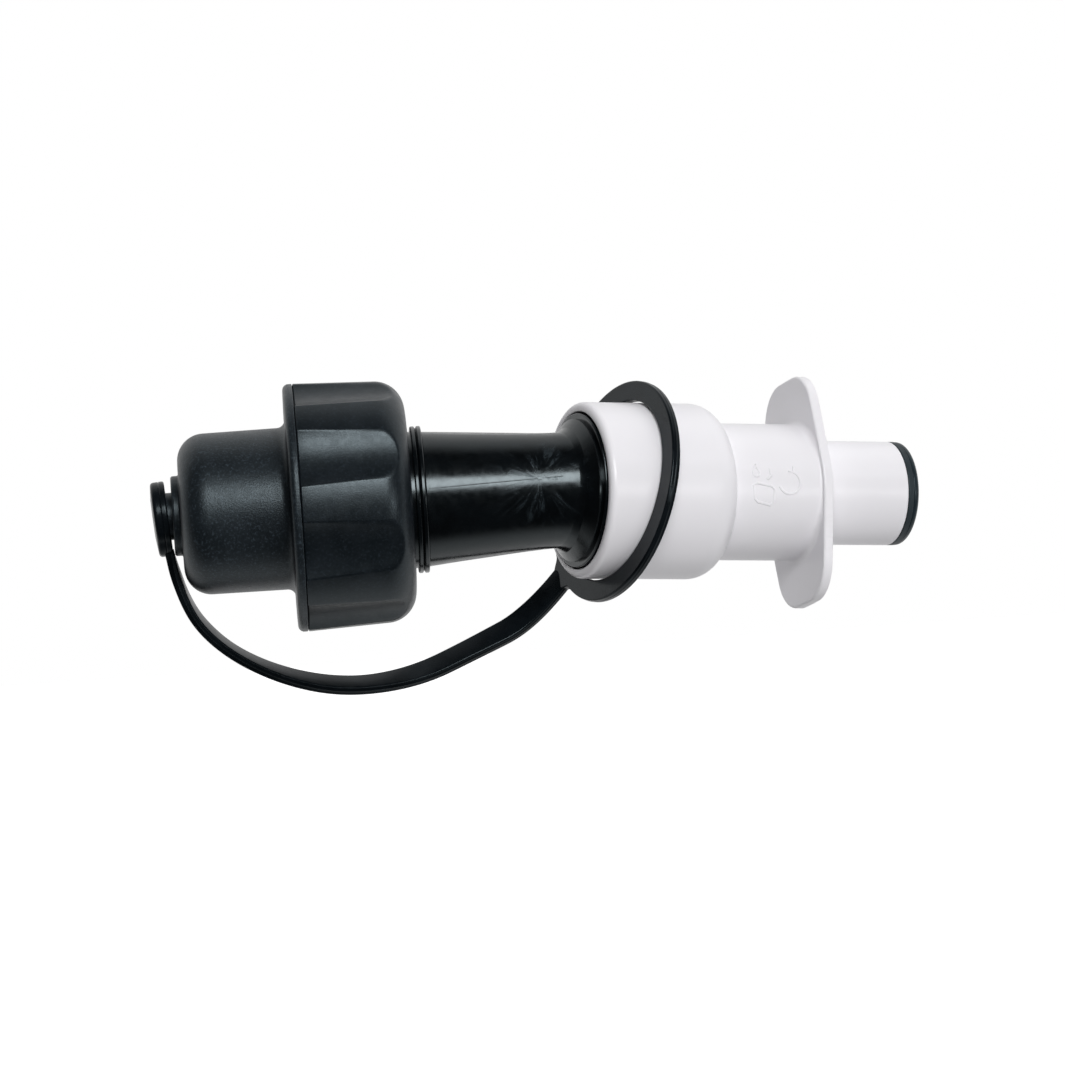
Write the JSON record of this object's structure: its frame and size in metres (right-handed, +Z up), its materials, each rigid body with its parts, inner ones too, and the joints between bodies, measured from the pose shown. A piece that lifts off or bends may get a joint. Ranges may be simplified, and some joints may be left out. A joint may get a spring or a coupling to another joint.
{
  "type": "fuel can filler spout",
  "caption": "No-spill fuel-can filler spout: fluted coupling nut, bent neck, sprung slide sleeve with finger wings and tip valve, and a storage cap on a tether ring and strap.",
  "frame": {"origin": "on the coupling nut's axis, where the can thread begins inside the nut's mouth", "axes": "+X along the coupling nut towards the spout tip, +Z up with the tether strap hanging below, +Y to the side that the elbow bends to"},
  "size_m": [0.1943, 0.0728, 0.0783],
  "materials": {
    "cap_black": "fine moulded grain",
    "nut_black": "satin moulded",
    "neck_black": "glossy moulded with flow marks",
    "tether_black": "soft satin moulded",
    "valve_black": "satin",
    "valve_seal_rubber": "smooth",
    "seal_rubber": "smooth",
    "inner_plastic": "moulded, natural",
    "spring_steel": "drawn wire",
    "sleeve_white": "satin moulded"
  },
  "bodies": {
    "spout": {"spout_neck": "neck_black", "nut_retaining_ring": "neck_black", "neck_wiper_ring": "neck_black", "can_gasket": "seal_rubber", "guide_tube": "inner_plastic", "guide_tube_oring": "seal_rubber", "sliding_seal": "seal_rubber", "vent_tube": "inner_plastic", "vent_tube_clip": "spring_steel", "vent_tube_spider": "inner_plastic", "vent_tube_rear_spider": "inner_plastic", "valve_head": "valve_black", "valve_seal": "valve_seal_rubber", "return_spring": "spring_steel"},
    "nut": {"coupling_nut": "nut_black"},
    "tether_end": {"tether_eyelet": "tether_black", "tether_strap_cap_half": "tether_black"},
    "cap": {"cap_shell": "cap_black", "cap_seal": "seal_rubber"},
    "sleeve": {"slide_sleeve": "sleeve_white", "spring_seat": "inner_plastic"},
    "ring": {"tether_ring": "tether_black", "tether_strap_ring_half": "tether_black"}
  },
  "joints": [
    {"name": "nut_spin", "type": "hinge", "parent": "spout", "child": "nut", "pos_m": [0, 0, 0], "axis": [1, 0, 0], "continuous": true},
    {"name": "cap_pull", "type": "slide", "parent": "spout", "child": "tether_end", "axis": [-1, 0, 0], "range_m": [0, 0.008], "deforming": ["tether_strap_cap_half"]},
    {"name": "cap_turn", "type": "hinge", "parent": "tether_end", "child": "cap", "pos_m": [-0.042, 0, 0], "axis": [-1, 0, 0], "range_deg": [0, 720]},
    {"name": "sleeve_press", "type": "slide", "parent": "spout", "child": "sleeve", "axis": [-0.9397, -0.3345, 0.0711], "range_m": [0, 0.008], "stiffness_N_per_m": 900, "springref_m": -0.006, "deforming": ["return_spring"]},
    {"name": "ring_turn", "type": "hinge", "parent": "spout", "child": "ring", "pos_m": [0.07246, 0.00355, -0.00115], "axis": [0.9397, 0.3345, -0.0711], "range_deg": [-15, 15], "deforming": ["tether_strap_ring_half"]}
  ],
  "couplings": [
    {"joint": "cap_pull", "follows": "cap_turn", "m_per_rad": 0.000636}
  ]
}
